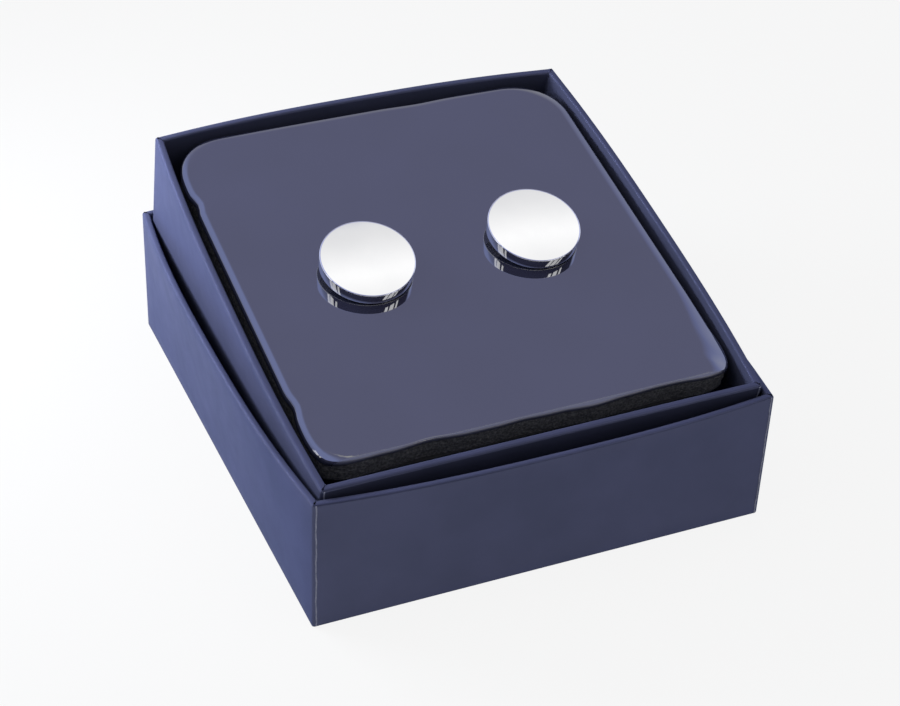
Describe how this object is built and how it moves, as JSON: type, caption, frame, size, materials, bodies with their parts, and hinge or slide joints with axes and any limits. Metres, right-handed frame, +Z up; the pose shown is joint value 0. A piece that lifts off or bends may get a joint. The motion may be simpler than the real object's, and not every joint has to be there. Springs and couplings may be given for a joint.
{
  "type": "cufflink display box",
  "caption": "Open presentation box with a tray tipped up in its lid and a gloss pad that holds round cufflinks with swivel toggles.",
  "frame": {"origin": "middle of the lid's lowest face, which the whole box stands on", "axes": "+Z up; -Y towards the tray's low front rim; +Y towards its raised back; +X to the right"},
  "size_m": [0.0888, 0.0982, 0.0459],
  "materials": {
    "gloss_wrap": "gloss",
    "greyboard": "matte",
    "gummed_tape": "matte",
    "card": "matte",
    "foam": "matte",
    "gloss_film": "gloss",
    "polished_chrome": "polished"
  },
  "bodies": {
    "lid": {"lid_board": "greyboard", "lid_corner_stays": "gummed_tape", "lid_wrap": "gloss_wrap", "lid_liner": "gloss_wrap"},
    "tray": {"tray_board": "greyboard", "tray_corner_stays": "gummed_tape", "tray_wrap": "gloss_wrap", "tray_liner": "gloss_wrap", "riser_frame": "card"},
    "pad": {"pad_backing": "card", "pad_foam": "foam", "pad_film": "gloss_film"},
    "left_cufflink": {"left_face": "polished_chrome", "left_post": "polished_chrome", "left_pin": "polished_chrome"},
    "left_toggle": {"left_toggle": "polished_chrome"},
    "right_cufflink": {"right_face": "polished_chrome", "right_post": "polished_chrome", "right_pin": "polished_chrome"},
    "right_toggle": {"right_toggle": "polished_chrome"}
  },
  "joints": [
    {"name": "tray_lift", "type": "slide", "parent": "lid", "child": "tray", "axis": [0.0015, -0.2113, 0.9774], "range_m": [0, 0.04]},
    {"name": "pad_lift", "type": "slide", "parent": "tray", "child": "pad", "axis": [0.0015, -0.2113, 0.9774], "range_m": [0, 0.03]},
    {"name": "left_cufflink_pull", "type": "slide", "parent": "pad", "child": "left_cufflink", "axis": [0.0022, -0.3206, 0.9472], "range_m": [0, 0.025]},
    {"name": "left_toggle_turn", "type": "hinge", "parent": "left_cufflink", "child": "left_toggle", "pos_m": [-0.01507, 0.00351, 0.02402], "axis": [-0.0066, 0.9472, 0.3206], "range_deg": [-90, 90]},
    {"name": "right_cufflink_pull", "type": "slide", "parent": "pad", "child": "right_cufflink", "axis": [0.0022, -0.3206, 0.9472], "range_m": [0, 0.025]},
    {"name": "right_toggle_turn", "type": "hinge", "parent": "right_cufflink", "child": "right_toggle", "pos_m": [0.01703, 0.00374, 0.02402], "axis": [-0.0066, 0.9472, 0.3206], "range_deg": [-90, 90]}
  ]
}
